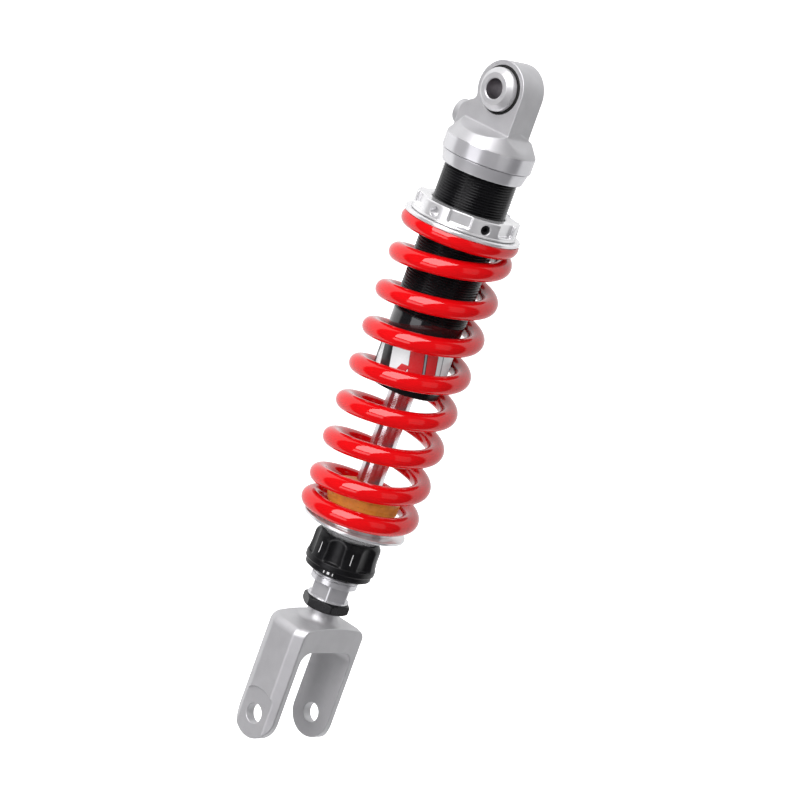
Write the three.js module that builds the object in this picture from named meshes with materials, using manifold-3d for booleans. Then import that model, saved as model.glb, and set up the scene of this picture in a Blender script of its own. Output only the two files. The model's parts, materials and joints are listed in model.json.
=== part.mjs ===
// Motorcycle rear shock absorber: gas-charged single-tube damper with a coil spring around it.
// Millimetres, +Z up. Origin: centre of the upper eye bore. X runs along the eye bolt.
import * as THREE from 'three';
import { mergeVertices } from 'three/addons/utils/BufferGeometryUtils.js';
import Module from 'manifold-3d';

const wasm = await Module();
wasm.setup();

// ---- driving dimensions -----------------------------------------------------------------------
const EYE_TO_CLEVIS = 400;        // centre of the eye bore to centre of the clevis holes
const BOLT_R = 6.1;               // M12 bolt clearance, both ends
const STROKE = 62;                // travel of the rod before the bump stop is touched
const CLEAR = 0.3;                // gap kept between pieces that touch
const SEG = 32;                   // facets round a large turned piece

const EYE_R = 17.5, EYE_HALF = 9.5, EYE_BUSH_R = 11.0, SEAL_BORE_R = 14.4, SEAL_DEPTH = 3.2;
const COLLAR_END = 15.4;          // outer end faces of the collars, plus and minus X
const CAP_R = 27.2, CAP_Z0 = -42.0, CAP_CEILING = -36.0;
const PORT_Z = -23.0;             // height of the gas filling port
const RING_Z0 = -49.8, RING_Z1 = CAP_Z0 - CLEAR;

const TUBE_R = 22.3, TUBE_LOW_R = 21.8, TUBE_BORE = 18.0;
const TUBE_Z1 = CAP_CEILING - CLEAR, THREAD_Z0 = -140.7, TUBE_Z0 = -186.2;

const ROD_R = 8.0, ROD_SPIGOT_R = 5.0, ROD_BORE = 2.6, ROD_SHOULDER = -146.0, ROD_TOP = -118.0, ROD_Z0 = -292.6;
const PISTON_R = 17.2, PISTON_Z0 = -141.5, PISTON_Z1 = -127.5;
const HEAD_R = 17.7, HEAD_Z1 = -166.0, HEAD_Z0 = -181.8, NOSE_Z0 = -187.2;

const SPRING_MEAN_R = 30.25, WIRE_R = 5.6;
const SPRING_TOP = -84.4, SPRING_BOTTOM = -273.2;
// height of the wire's centre line, one pair per point: turns counted from the first pass of the left side
const HELIX = [[-0.5, -86.4], [0, -88.4], [0.5, -98.3], [1, -110.5], [2, -134.1], [3, -157.7], [4, -181.3], [5, -204.9], [6, -228.5], [7, -252.1], [7.5, -261.5], [8, -267.2], [8.2, -268.4]];
const HELIX_PHASE = 129.3;        // polar angle of turn 0, degrees; going down the wire turns towards smaller angles

const NUT_Z1 = -71.5, NUT_Z0 = -81.5, NUT_R = 31.8, WASHER_R = 35.5;
const SEAT_Z = SPRING_BOTTOM - CLEAR;
const KNOB_R = 21.5;
const HEX_AF = 22.0, HEX_Z1 = -312.8, HEX_Z0 = -323.2;
const LOCK_AF = 26.0, LOCK_Z1 = HEX_Z0 - CLEAR, LOCK_Z0 = -329.7;
const STUD_R = 7.9, STUD_Z1 = -310.5, STUD_Z0 = -350.0;
const FORK_X = 29.7, FORK_GAP = 21.7, FORK_Y = 15.3, FORK_TOP = -336.9, FORK_GAP_TOP = -353.1;

// ---- materials --------------------------------------------------------------------------------
const mat = (color, roughness, metalness) => new THREE.MeshStandardMaterial({ color, roughness, metalness });
const SATIN_ALU = () => mat(0xb9b9bb, 0.42, 0.9);
const BRIGHT_ALU = () => mat(0xd2d3d6, 0.25, 0.95);
const STEEL = () => mat(0x9a9ca0, 0.35, 1.0);
const CHROME = () => mat(0xdcdcdf, 0.08, 1.0);
const BLACK_ANODISED = () => mat(0x0c0c0d, 0.35, 0.6);
const BLACK_STEEL = () => mat(0x141414, 0.45, 0.8);
const BLACK_PLASTIC = () => mat(0x101011, 0.4, 0.0);
const RUBBER = () => mat(0x0d0d0d, 0.8, 0.0);
const BRONZE = () => mat(0x8c6a3a, 0.45, 0.9);
const RED = () => mat(0xd8121a, 0.2, 0.0);
const AMBER = () => mat(0xb9721f, 0.55, 0.0);
const PTFE = () => mat(0x6b5a4c, 0.5, 0.0);

// ---- solid helpers ----------------------------------------------------------------------------
const rad = (d) => d * Math.PI / 180;

// welds a geometry, drops empty triangles, makes it face outward, and hands it to the boolean library
function solid(geometry) {
  const g0 = geometry.index ? geometry.toNonIndexed() : geometry.clone();
  for (const name of Object.keys(g0.attributes)) if (name !== 'position') g0.deleteAttribute(name);
  const g = mergeVertices(g0, 1e-4);
  const p = g.attributes.position, src = g.index.array, tri = [];
  let vol = 0;
  const a = new THREE.Vector3(), b = new THREE.Vector3(), c = new THREE.Vector3();
  for (let i = 0; i < src.length; i += 3) {
    const [u, v, w] = [src[i], src[i + 1], src[i + 2]];
    if (u === v || v === w || w === u) continue;
    tri.push(u, v, w);
    a.fromBufferAttribute(p, u); b.fromBufferAttribute(p, v); c.fromBufferAttribute(p, w);
    vol += a.dot(b.clone().cross(c));
  }
  if (vol < 0) for (let i = 0; i < tri.length; i += 3) [tri[i + 1], tri[i + 2]] = [tri[i + 2], tri[i + 1]];
  const mesh = new wasm.Mesh({ numProp: 3, vertProperties: new Float32Array(p.array), triVerts: new Uint32Array(tri) });
  mesh.merge();
  return new wasm.Manifold(mesh);
}

function toGeometry(m) {
  const mesh = m.getMesh();
  const g = new THREE.BufferGeometry();
  const v = new Float32Array(mesh.numVert * 3);
  for (let i = 0; i < mesh.numVert; i++) for (let k = 0; k < 3; k++) v[i * 3 + k] = mesh.vertProperties[i * mesh.numProp + k];
  g.setAttribute('position', new THREE.BufferAttribute(v, 3));
  g.setIndex(new THREE.BufferAttribute(new Uint32Array(mesh.triVerts), 1));
  const flat = g.toNonIndexed();
  flat.computeVertexNormals();
  return flat;
}

// solid of revolution about Z from an [r, z] outline; closes on itself unless it starts and ends on the axis
function turned(outline, seg = SEG) {
  const pts = outline.map(([r, z]) => new THREE.Vector2(r, z));
  const onAxis = outline[0][0] === 0 && outline[outline.length - 1][0] === 0;
  if (!onAxis) pts.push(pts[0].clone());
  const g = new THREE.LatheGeometry(pts, seg);
  g.rotateX(Math.PI / 2);
  return solid(g);
}
const ringOf = (r0, r1, z0, z1, seg = SEG) => turned([[r0, z0], [r1, z0], [r1, z1], [r0, z1]], seg);
const rod = (r, z0, z1, seg = 32) => turned([[0, z0], [r, z0], [r, z1], [0, z1]], seg);
const alongX = (m) => m.rotate([0, 90, 0]);                 // Z becomes X
const shapeOf = (pts) => { const s = new THREE.Shape(); s.moveTo(...pts[0]); pts.slice(1).forEach((q) => s.lineTo(...q)); s.closePath(); return s; };
function prismZ(pts, z0, z1) { const g = new THREE.ExtrudeGeometry(shapeOf(pts), { depth: z1 - z0, bevelEnabled: false }); g.translate(0, 0, z0); return solid(g); }
// outline in (x, z), extruded along Y
function prismY(pts, half) { const g = new THREE.ExtrudeGeometry(shapeOf(pts), { depth: 2 * half, bevelEnabled: false }); g.rotateX(Math.PI / 2); g.translate(0, half, 0); return solid(g); }
// outline in (y, z), extruded along X
function prismX(pts, half) {
  const g = new THREE.ExtrudeGeometry(shapeOf(pts), { depth: 2 * half, bevelEnabled: false });
  const m = new THREE.Matrix4().set(0, 0, 1, -half, 1, 0, 0, 0, 0, 1, 0, 0, 0, 0, 0, 1);
  g.applyMatrix4(m);
  return solid(g);
}
const block = (x0, x1, y0, y1, z0, z1) => prismZ([[x0, y0], [x1, y0], [x1, y1], [x0, y1]], z0, z1);
const arc = (cx, cy, r, a0, a1, n) => Array.from({ length: n + 1 }, (_, i) => { const t = rad(a0 + (a1 - a0) * i / n); return [cx + r * Math.cos(t), cy + r * Math.sin(t)]; });
function hexPrism(af, phase, z0, z1) { const rc = af / Math.sqrt(3); return prismZ(Array.from({ length: 6 }, (_, i) => [rc * Math.cos(rad(phase + 60 * i)), rc * Math.sin(rad(phase + 60 * i))]), z0, z1); }
const all = (list) => list.slice(1).reduce((s, m) => s.add(m), list[0]);

const shock = new THREE.Group();
function add(name, m, material, parent = shock) {
  const mesh = new THREE.Mesh(toGeometry(m), material);
  mesh.name = name;
  parent.add(mesh);
  return mesh;
}

// ---- upper eye: what the frame bolt clamps -----------------------------------------------------
{
  // stepped collar: end face, cone, flange, hub that carries the seal, stub inside the sleeve
  const collar = turned([
    [BOLT_R + 0.55, COLLAR_END], [9.4, COLLAR_END], [12.4, 12.9], [12.9, 12.3], [12.9, EYE_HALF + CLEAR], [9.4, EYE_HALF + CLEAR],
    [9.4, 6.6], [7.2, 6.6], [7.2, 0.3], [BOLT_R, 0.3], [BOLT_R, COLLAR_END - 0.55],
  ], 24);
  add('upper_collar_right', alongX(collar), STEEL());
  add('upper_collar_left', alongX(collar).rotate([0, 0, 180]), STEEL());
  add('upper_inner_sleeve', alongX(ringOf(7.5, 8.8, -6.3, 6.3, 24)), STEEL());
  add('upper_eye_bush', alongX(turned([[9.1, -6.0], [10.7, -6.0], [10.7, 6.0], [9.1, 6.0]], 24)), BRONZE());
  const seal = turned([[9.7, 6.6], [14.1, 6.6], [14.1, 9.0], [13.5, 9.3], [9.7, 9.3]], 24);
  add('upper_seal_right', alongX(seal), RUBBER());
  add('upper_seal_left', alongX(seal).rotate([0, 0, 180]), RUBBER());
}

// ---- upper eye mount: turned cap with a milled eye ---------------------------------------------
{
  // round base with a conical shoulder, milled to sloping ledges on the -Y side and under the flat faces
  const base = turned([[0, CAP_Z0], [26.4, CAP_Z0], [CAP_R, CAP_Z0 + 0.9], [CAP_R, -32.5], [13.26, -12.0], [0, -12.0]])
    .intersect(prismX([[-30, CAP_Z0], [30, CAP_Z0], [30, 5], [-EYE_R, 5], [-EYE_R, -23.4], [-30, -33.15]], 30))
    .intersect(prismY([[-30, CAP_Z0], [30, CAP_Z0], [30, -28.78], [EYE_HALF, -22.9], [-EYE_HALF, -22.9], [-30, -28.78]], 30));
  // flat-sided eye: tall rounded shoulder at +Y, straight flank at -Y
  const plate = prismX([
    [-EYE_R, -38], [30, -38], [30, -15.6], [22.8, -15.4], [19.0, -12.6], [16.6, -11.2], [15.6, -9.6], [15.6, -7.93],
    ...arc(0, 0, EYE_R, -26, 180, 34).slice(1),
  ], EYE_HALF).intersect(turned([[0, -38], [26.4, -38], [26.4, -18.0], [24.8, -15.6], [24.8, 20], [0, 20]]));
  // round boss that carries the filling port
  const boss = turned([[0, 10], [7.7, 10], [7.7, 29.5], [6.9, 30.3], [0, 30.3]], 28).rotate([-90, 0, 0]).translate([0, 0, PORT_Z]);
  let m = base.add(plate).add(boss);
  m = m.subtract(alongX(rod(EYE_BUSH_R, -40, 40, 24)));
  const cb = alongX(turned([[0, EYE_HALF - SEAL_DEPTH], [SEAL_BORE_R, EYE_HALF - SEAL_DEPTH], [SEAL_BORE_R, EYE_HALF - 0.4], [SEAL_BORE_R + 0.5, EYE_HALF + 0.1], [SEAL_BORE_R + 0.5, 30], [0, 30]], 24));
  m = m.subtract(cb).subtract(cb.rotate([0, 0, 180]));
  m = m.subtract(rod(TUBE_R + CLEAR, CAP_Z0 - 1, CAP_CEILING, SEG));
  // filling port for the nitrogen: a hole into the boss, and a passage down to the gas space
  const port = rod(4.1, 10.5, 40, 24).rotate([-90, 0, 0]).translate([0, 0, PORT_Z]);
  m = m.subtract(port).subtract(rod(1.5, -37, PORT_Z, 16).translate([0, 12.6, 0]));
  add('upper_eye_mount', m, SATIN_ALU());

  const plug = turned([[0, 17.0], [3.4, 17.0], [3.8, 17.6], [3.8, 26.0], [0, 26.0]], 24).subtract(hexPrism(4, 0, 23.0, 27));
  add('gas_valve_plug', plug.rotate([-90, 0, 0]).translate([0, 0, PORT_Z]), STEEL());
}
add('body_lock_ring', turned([[TUBE_R + CLEAR, RING_Z0 + 0.5], [TUBE_R + CLEAR + 0.5, RING_Z0], [24.4, RING_Z0], [24.7, RING_Z0 + 0.4], [26.4, RING_Z1], [TUBE_R + CLEAR, RING_Z1]]), SATIN_ALU());

// ---- damper body: tube, gas piston, seal head --------------------------------------------------
add('damper_tube', turned([
  [TUBE_BORE, TUBE_Z1 - 0.8], [TUBE_BORE + 0.8, TUBE_Z1], [TUBE_R - 0.8, TUBE_Z1], [TUBE_R, TUBE_Z1 - 0.8], [TUBE_R, THREAD_Z0], [TUBE_LOW_R, THREAD_Z0 - 0.6],
  [TUBE_LOW_R, TUBE_Z0 + 1.0], [TUBE_LOW_R - 1.0, TUBE_Z0], [TUBE_BORE + 0.2, TUBE_Z0], [TUBE_BORE, -185.6], [TUBE_BORE, -183.6], [19.3, -183.6], [19.3, -182.0], [TUBE_BORE, -182.0],
]), BLACK_ANODISED());
add('floating_piston', turned([
  [0, -61.0], [16.9, -61.0], [17.7, -60.2], [17.7, -57.4], [16.0, -57.4], [16.0, -54.6], [17.7, -54.6], [17.7, -51.4], [16.9, -50.6], [13.0, -50.6], [13.0, -56.0], [0, -56.0],
]), BRIGHT_ALU());
add('floating_piston_oring', turned(arc(17.0, -56.0, 0.8, 0, 360, 6).slice(0, 6), 24), RUBBER());
add('seal_head', turned([
  [ROD_R + 0.4, HEAD_Z1], [16.9, HEAD_Z1], [HEAD_R, -166.8], [HEAD_R, -171.4], [16.0, -171.4], [16.0, -174.2], [HEAD_R, -174.2], [HEAD_R, HEAD_Z0], [15.6, HEAD_Z0], [15.6, -186.4], [14.8, NOSE_Z0],
  [12.0, NOSE_Z0], [12.0, -183.0], [ROD_R + 0.4, -183.0], [ROD_R + 0.4, -179.0], [12.0, -179.0], [12.0, -173.6], [ROD_R + 0.4, -173.6],
]), BRIGHT_ALU());
add('seal_head_oring', turned(arc(17.0, -172.8, 0.8, 0, 360, 6).slice(0, 6), 24), RUBBER());
add('rod_oil_seal', turned([[ROD_R + 0.1, -176.6], [8.9, -178.7], [11.7, -178.7], [11.7, -173.9], [9.2, -173.9], [ROD_R + 0.1, -175.4]], 24), RUBBER());
add('rod_wiper', turned([[ROD_R + 0.1, -188.6], [9.0, -189.2], [11.0, -187.5], [11.7, -187.1], [11.7, -183.3], [8.6, -183.3], [8.6, -186.6]], 24), RUBBER());
{
  // open retaining ring in the tube's groove
  const outer = arc(0, 0, 19.0, -80, 260, 34), inner = arc(0, 0, 16.2, 260, -80, 34);
  add('seal_head_circlip', prismZ([...outer, ...inner], -183.4, -182.2), STEEL());
}
add('topout_bumper', turned([[ROD_R + 0.5, -165.6], [12.6, -165.6], [12.6, -162.0], [11.6, -161.0], [11.6, -151.0], [12.6, -150.0], [12.6, -146.2], [ROD_R + 0.5, -146.2]], 24), PTFE());

// ---- rod assembly ------------------------------------------------------------------------------
add('piston_rod', turned([
  [ROD_BORE, ROD_Z0], [ROD_R - 0.8, ROD_Z0], [ROD_R, ROD_Z0 + 0.8], [ROD_R, ROD_SHOULDER - 0.4], [ROD_R - 0.4, ROD_SHOULDER], [ROD_SPIGOT_R, ROD_SHOULDER], [ROD_SPIGOT_R, ROD_TOP - 0.6], [ROD_SPIGOT_R - 0.6, ROD_TOP], [ROD_BORE, ROD_TOP],
], 24), CHROME());
{
  let m = turned([
    [ROD_SPIGOT_R + CLEAR, PISTON_Z0], [14.6, PISTON_Z0], [14.6, PISTON_Z0 + 0.8], [PISTON_R, PISTON_Z0 + 1.6], [PISTON_R, -138.3], [16.5, -138.3], [16.5, -130.7], [PISTON_R, -130.7], [PISTON_R, PISTON_Z1 - 1.6],
    [14.6, PISTON_Z1 - 0.8], [14.6, PISTON_Z1], [ROD_SPIGOT_R + CLEAR, PISTON_Z1],
  ]);
  for (let i = 0; i < 6; i++) m = m.subtract(rod(1.8, -150, -120, 8).translate([10.4, 0, 0]).rotate([0, 0, 60 * i + 30]));
  add('piston', m, BRIGHT_ALU());
}
add('piston_band', ringOf(16.75, 17.85, -138.0, -131.0), PTFE());
add('compression_shims', turned([[ROD_SPIGOT_R + CLEAR, -127.2], [13.6, -127.2], [13.6, -126.6], [11.6, -126.6], [11.6, -126.0], [9.4, -126.0], [9.4, -125.2], [ROD_SPIGOT_R + CLEAR, -125.2]], 24), STEEL());
add('rebound_shims', turned([[ROD_SPIGOT_R + CLEAR, -145.7], [12.0, -145.7], [12.0, -144.2], [9.2, -144.2], [9.2, -143.2], [11.4, -143.2], [11.4, -142.5], [13.2, -142.5], [13.2, -141.8], [ROD_SPIGOT_R + CLEAR, -141.8]], 24), STEEL());
add('piston_nut', hexPrism(16, 0, -124.9, -118.9).intersect(turned([[0, -125], [8.4, -125], [9.4, -124.2], [9.4, -119.6], [8.4, -118.8], [0, -118.8]], 24)).subtract(rod(ROD_SPIGOT_R + CLEAR, -130, -110, 24)), STEEL());
add('rebound_needle', turned([[0, -301.6], [2.1, -301.6], [2.1, -126.0], [0.5, -119.5], [0, -119.5]], 16).subtract(rod(1.65, -10, 10, 16).rotate([0, 90, 0]).translate([0, 0, -299.0])), STEEL());

// ---- spring and its two seats ------------------------------------------------------------------
const preload = new THREE.Group();
shock.add(preload);
{
  let m = turned([
    [TUBE_R + CLEAR, NUT_Z0], [NUT_R + 0.6, NUT_Z0], [NUT_R + 0.6, NUT_Z0 + 0.8], [NUT_R, NUT_Z0 + 1.2], [NUT_R, NUT_Z1 - 0.8], [NUT_R - 0.8, NUT_Z1], [TUBE_R + CLEAR + 0.8, NUT_Z1], [TUBE_R + CLEAR, NUT_Z1 - 0.8],
  ], 32);
  for (let i = 0; i < 6; i++) {
    // castellation pocket, open at the top and at the rim, with rounded lower corners
    const w = 7.2;
    const pocket = prismX([[-w, -60], [-w, -77.2], ...arc(-w + 1.8, -77.2, 1.8, 180, 270, 3), ...arc(w - 1.8, -77.2, 1.8, 270, 360, 3), [w, -60]], 5).translate([33.6, 0, 0]);
    m = m.subtract(pocket.rotate([0, 0, 35 + 60 * i]));
    if (i !== 3) m = m.subtract(rod(2.9, 26.8, 40, 16).rotate([0, 90, 0]).translate([0, 0, -76.6]).rotate([0, 0, 65 + 60 * i]));
    else m = m.subtract(rod(2.9, 20, 40, 20).rotate([0, 90, 0]).translate([0, 0, -76.6]).rotate([0, 0, 65 + 60 * i]));
  }
  add('preload_ring', m, BRIGHT_ALU(), preload);
  const grub = turned([[0, 22.7], [1.6, 22.7], [2.6, 23.8], [2.6, 30.4], [2.2, 30.8], [0, 30.8]], 20).subtract(hexPrism(3, 0, 28.0, 32));
  add('preload_lock_screw', grub.rotate([0, 90, 0]).translate([0, 0, -76.6]).rotate([0, 0, 245]), BLACK_STEEL(), preload);
  add('spring_thrust_washer', turned([[TUBE_R + 0.6, -84.1], [WASHER_R - 0.4, -84.1], [WASHER_R, -83.7], [WASHER_R, -82.4], [WASHER_R - 0.6, NUT_Z0 - CLEAR], [TUBE_R + 0.6, NUT_Z0 - CLEAR]], 32), BRIGHT_ALU(), preload);
}
{
  // right-handed coil with closed ends ground flat
  const ts = HELIX.map((p) => p[0]), zs = HELIX.map((p) => p[1]), n = ts.length;
  const slope = ts.map((_, i) => (i === 0 ? (zs[1] - zs[0]) / (ts[1] - ts[0]) : i === n - 1 ? (zs[n - 1] - zs[n - 2]) / (ts[n - 1] - ts[n - 2]) : 0.5 * ((zs[i] - zs[i - 1]) / (ts[i] - ts[i - 1]) + (zs[i + 1] - zs[i]) / (ts[i + 1] - ts[i]))));
  const height = (t) => {
    let i = 0;
    while (i < n - 2 && t > ts[i + 1]) i++;
    const h = ts[i + 1] - ts[i], s = (t - ts[i]) / h, s2 = s * s, s3 = s2 * s;
    return (2 * s3 - 3 * s2 + 1) * zs[i] + (s3 - 2 * s2 + s) * h * slope[i] + (-2 * s3 + 3 * s2) * zs[i + 1] + (s3 - s2) * h * slope[i + 1];
  };
  class Coil extends THREE.Curve {
    getPoint(u, target = new THREE.Vector3()) {
      const t = ts[0] + (ts[n - 1] - ts[0]) * u, a = rad(HELIX_PHASE - 360 * t);
      return target.set(SPRING_MEAN_R * Math.cos(a), SPRING_MEAN_R * Math.sin(a), height(t));
    }
  }
  const section = shapeOf(arc(0, 0, WIRE_R, 0, 360, 8).slice(0, 8));
  const g = new THREE.ExtrudeGeometry(section, { steps: 156, extrudePath: new Coil() });
  const slab = ringOf(20, 42, SPRING_BOTTOM, SPRING_TOP, 32);
  add('coil_spring', solid(g).intersect(slab), RED());
}
add('bump_stop', turned([
  [ROD_R + 0.5, -250.6], [15.5, -250.6], [19.0, -251.8], [21.0, -253.4], [21.8, -255.2], [21.8, -261.0], [20.6, -264.0], [18.7, -266.4], [ROD_R + 0.5, -266.4],
], 24), AMBER());
add('lower_spring_seat', turned([
  [ROD_R + 0.5, -285.8], [16.2, -285.8], [16.2, -282.0], [17.6, -281.6], [18.6, -280.9], [21.6, -279.0], [25.0, -277.2], [28.4, -276.0], [31.0, -275.4], [31.4, -275.0], [31.4, SEAT_Z], [23.9, SEAT_Z], [23.9, -270.8], [23.0, -269.8], [19.4, -266.8], [ROD_R + 0.5, -266.8],
]), BRIGHT_ALU());

// ---- rebound adjuster and rod end --------------------------------------------------------------
{
  let m = turned([
    [13.3, -288.2], [16.8, -288.2], [16.8, -282.3], [18.2, -282.3], [20.0, -284.4], [20.5, -286.0], [20.5, -292.0], [21.0, -297.6], [KNOB_R, -298.4], [KNOB_R, -301.2], [20.4, -302.2], [20.4, -305.0], [17.2, -306.8],
    [13.3, -306.8], [13.3, -303.4], [15.2, -303.4], [15.2, -294.6], [13.3, -294.6], [13.3, -292.6], [14.4, -291.6], [14.4, -290.0], [13.3, -289.0],
  ]);
  // six finger scallops, open at the top and running out above the skirt
  for (let i = 0; i < 6; i++) m = m.subtract(turned([[0, -297.8], [11.2, -297.8], [12.0, -297.0], [12.0, -270], [0, -270]], 24).translate([30.6, 0, 0]).rotate([0, 0, 25.9 + 60 * i]));
  add('rebound_knob', m, BLACK_PLASTIC());
}
{
  let m = turned([
    [0, -305.5], [8.2, -305.5], [8.2, -323.9], [16, -323.9], [16, -312.9], [14.4, -312.9], [14.4, -309.4], [13.7, -309.2], [13.7, -308.8], [14.2, -308.6], [14.2, -307.5], [13.8, -307.1], [12.9, -307.1], [12.9, -286.9], [12.3, -286.3], [8.3, -286.3], [8.3, -293.0], [0, -293.0],
  ]);
  // wrench hexagon below the collar
  const upper = turned([[0, HEX_Z1], [20, HEX_Z1], [20, -280], [0, -280]], 24);
  const flange = turned([[0, HEX_Z0], [12.3, HEX_Z0], [12.8, HEX_Z0 + 0.4], [12.8, HEX_Z0 + 1.0], [0, HEX_Z0 + 1.0]], 24);
  const hex = hexPrism(HEX_AF, 39.3, HEX_Z0 + 0.8, HEX_Z1 + 0.3).intersect(rod(12.4, HEX_Z0, HEX_Z1 + 1, 24));
  m = m.intersect(upper.add(hex).add(flange));
  m = m.subtract(rod(2.9, -302.6, -290, 24));
  m = m.subtract(block(-20, 20, -1.9, 1.9, -302.6, -295.4));
  m = m.subtract(rod(1.7, 9.4, 20, 16).rotate([-90, 0, 0]).translate([0, 0, -290.8]));
  add('rod_end', m, BRIGHT_ALU());
}
add('adjuster_cross_pin', alongX(rod(1.5, -14.8, 14.8, 16)).translate([0, 0, -299.0]), STEEL());
add('detent_ball', solid(new THREE.SphereGeometry(1.5, 10, 8)).translate([0, 12.3, -290.8]), STEEL());

// ---- length adjuster and clevis ----------------------------------------------------------------
add('lock_nut', hexPrism(LOCK_AF, 57, LOCK_Z0, LOCK_Z1).intersect(turned([[0, LOCK_Z0], [13.2, LOCK_Z0], [15.1, LOCK_Z0 + 1.4], [15.1, LOCK_Z1 - 1.4], [13.2, LOCK_Z1], [0, LOCK_Z1]])).subtract(turned([[0, LOCK_Z0 - 1], [9.2, LOCK_Z0 - 1], [9.2, LOCK_Z0], [8.2, LOCK_Z0 + 1], [8.2, LOCK_Z1 - 1], [9.2, LOCK_Z1], [9.2, LOCK_Z1 + 1], [0, LOCK_Z1 + 1]], 24)), BLACK_STEEL());
add('clevis_stud', turned([[0, STUD_Z0], [7.0, STUD_Z0], [STUD_R, STUD_Z0 + 0.9], [STUD_R, STUD_Z1 - 0.9], [7.0, STUD_Z1], [0, STUD_Z1]], 24), STEEL());
{
  const crown = (x) => FORK_TOP - x * x / 270;
  const zc = -EYE_TO_CLEVIS;
  const top = Array.from({ length: 19 }, (_, i) => { const x = 25.6 - 51.2 * i / 18; return [x, crown(x)]; });
  const shoulder = arc(FORK_X - 5, -344.24, 5, 0, 79.7, 4).slice(0, 4);
  const fork = prismY([
    [FORK_X, zc - 20], ...shoulder, ...top, ...shoulder.map(([x, z]) => [-x, z]).reverse(), [-FORK_X, zc - 20], [-FORK_GAP, zc - 20],
    ...arc(-FORK_GAP + 7.5, FORK_GAP_TOP - 7.5, 7.5, 180, 90, 8), ...arc(FORK_GAP - 7.5, FORK_GAP_TOP - 7.5, 7.5, 90, 0, 8), [FORK_GAP, zc - 20],
  ], FORK_Y);
  const ends = prismX([[-FORK_Y, -330], ...arc(0, zc, FORK_Y, 180, 360, 32), [FORK_Y, -330]], 40);
  const cx = 3.8, cy = 6.2;
  const corners = prismZ([[-FORK_X, -FORK_Y + cy], [-FORK_X + cx, -FORK_Y], [FORK_X - cx, -FORK_Y], [FORK_X, -FORK_Y + cy], [FORK_X, FORK_Y - cy], [FORK_X - cx, FORK_Y], [-FORK_X + cx, FORK_Y], [-FORK_X, FORK_Y - cy]], zc - 30, -330);
  let m = fork.intersect(ends).intersect(corners);
  // boss that flares into the crown round the stud
  m = m.add(turned([[0, -342], [14.5, -342], [14.5, -338.6], [11.8, -337.0], [10.2, -335.4], [9.5, -333.6], [9.3, -332.0], [9.3, -330.2], [0, -330.2]], 24));
  m = m.subtract(rod(STUD_R + CLEAR, STUD_Z0 - CLEAR, -320, 24));
  m = m.subtract(alongX(rod(BOLT_R, -40, 40, 24)).translate([0, 0, zc]));
  const relief = alongX(turned([[0, FORK_X - 1.8], [BOLT_R, FORK_X - 1.8], [BOLT_R + 0.6, FORK_X - 1.2], [16.2, FORK_X - 1.2], [16.2, 40], [0, 40]], 32));
  m = m.subtract(relief.translate([0, 0, zc])).subtract(relief.rotate([0, 0, 180]).translate([0, 0, zc]));
  add('clevis', m, SATIN_ALU());
}

export default shock;
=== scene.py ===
import json
import math
from itertools import product

import bpy
import numpy as np
from mathutils import Matrix, Vector


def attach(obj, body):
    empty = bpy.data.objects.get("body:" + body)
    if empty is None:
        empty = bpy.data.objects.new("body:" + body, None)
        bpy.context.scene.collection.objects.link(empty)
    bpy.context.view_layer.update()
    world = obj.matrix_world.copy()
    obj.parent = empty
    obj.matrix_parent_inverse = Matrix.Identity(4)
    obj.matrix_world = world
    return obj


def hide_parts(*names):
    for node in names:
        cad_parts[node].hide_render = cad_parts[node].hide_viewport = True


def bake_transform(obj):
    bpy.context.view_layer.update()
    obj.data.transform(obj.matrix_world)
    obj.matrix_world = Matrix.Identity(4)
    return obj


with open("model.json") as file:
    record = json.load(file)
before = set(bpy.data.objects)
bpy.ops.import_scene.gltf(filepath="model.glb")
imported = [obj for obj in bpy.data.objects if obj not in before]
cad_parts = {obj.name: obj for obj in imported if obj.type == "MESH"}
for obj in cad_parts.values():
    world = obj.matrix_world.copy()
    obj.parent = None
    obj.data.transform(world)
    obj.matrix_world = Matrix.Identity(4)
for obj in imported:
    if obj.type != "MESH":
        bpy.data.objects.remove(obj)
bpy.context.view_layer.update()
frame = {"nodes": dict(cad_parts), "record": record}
NODES = frame["nodes"]
MM = 0.001
SCENE = bpy.context.scene

# ------------------------------------------------------------------------------------------------
# materials
# ------------------------------------------------------------------------------------------------
MATS = {}


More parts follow.
